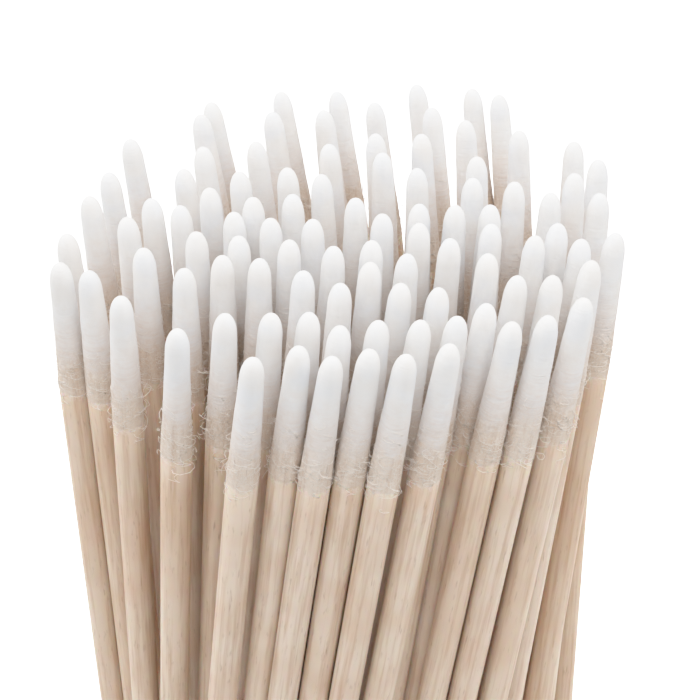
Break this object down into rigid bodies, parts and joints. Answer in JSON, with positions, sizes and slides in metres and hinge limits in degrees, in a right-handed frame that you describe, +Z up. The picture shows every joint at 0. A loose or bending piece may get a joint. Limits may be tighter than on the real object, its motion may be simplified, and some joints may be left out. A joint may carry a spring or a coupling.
{
  "type": "bunch of cotton swabs",
  "caption": "Bunch of slim pointed cotton swabs on birch sticks, gathered near the feet by a flat elastic tie, fanned out and twisted above it",
  "frame": {"origin": "on the ground under the foot of the one swab that stands upright, near the middle of the bunch", "axes": "+Z up along the upright swab to its tip, -Y towards the side shown in front, +X to the right"},
  "size_m": [0.0432, 0.0424, 0.076],
  "materials": {
    "birch": "plain sanded birch, matte",
    "cotton": "wound white cotton, soft matte",
    "elastic": "natural rubber, satin"
  },
  "bodies": {
    "root": {"row_1_sticks": "birch", "row_2_sticks": "birch", "row_3_sticks": "birch", "row_4_sticks": "birch", "row_5_sticks": "birch", "row_6_sticks": "birch", "row_7_sticks": "birch", "row_8_sticks": "birch", "row_9_sticks": "birch", "row_10_sticks": "birch", "row_11_sticks": "birch", "row_1_heads": "cotton", "row_2_heads": "cotton", "row_3_heads": "cotton", "row_4_heads": "cotton", "row_5_heads": "cotton", "row_6_heads": "cotton", "row_7_heads": "cotton", "row_8_heads": "cotton", "row_9_heads": "cotton", "row_10_heads": "cotton", "row_11_heads": "cotton", "elastic_tie": "elastic"}
  },
  "joints": []
}
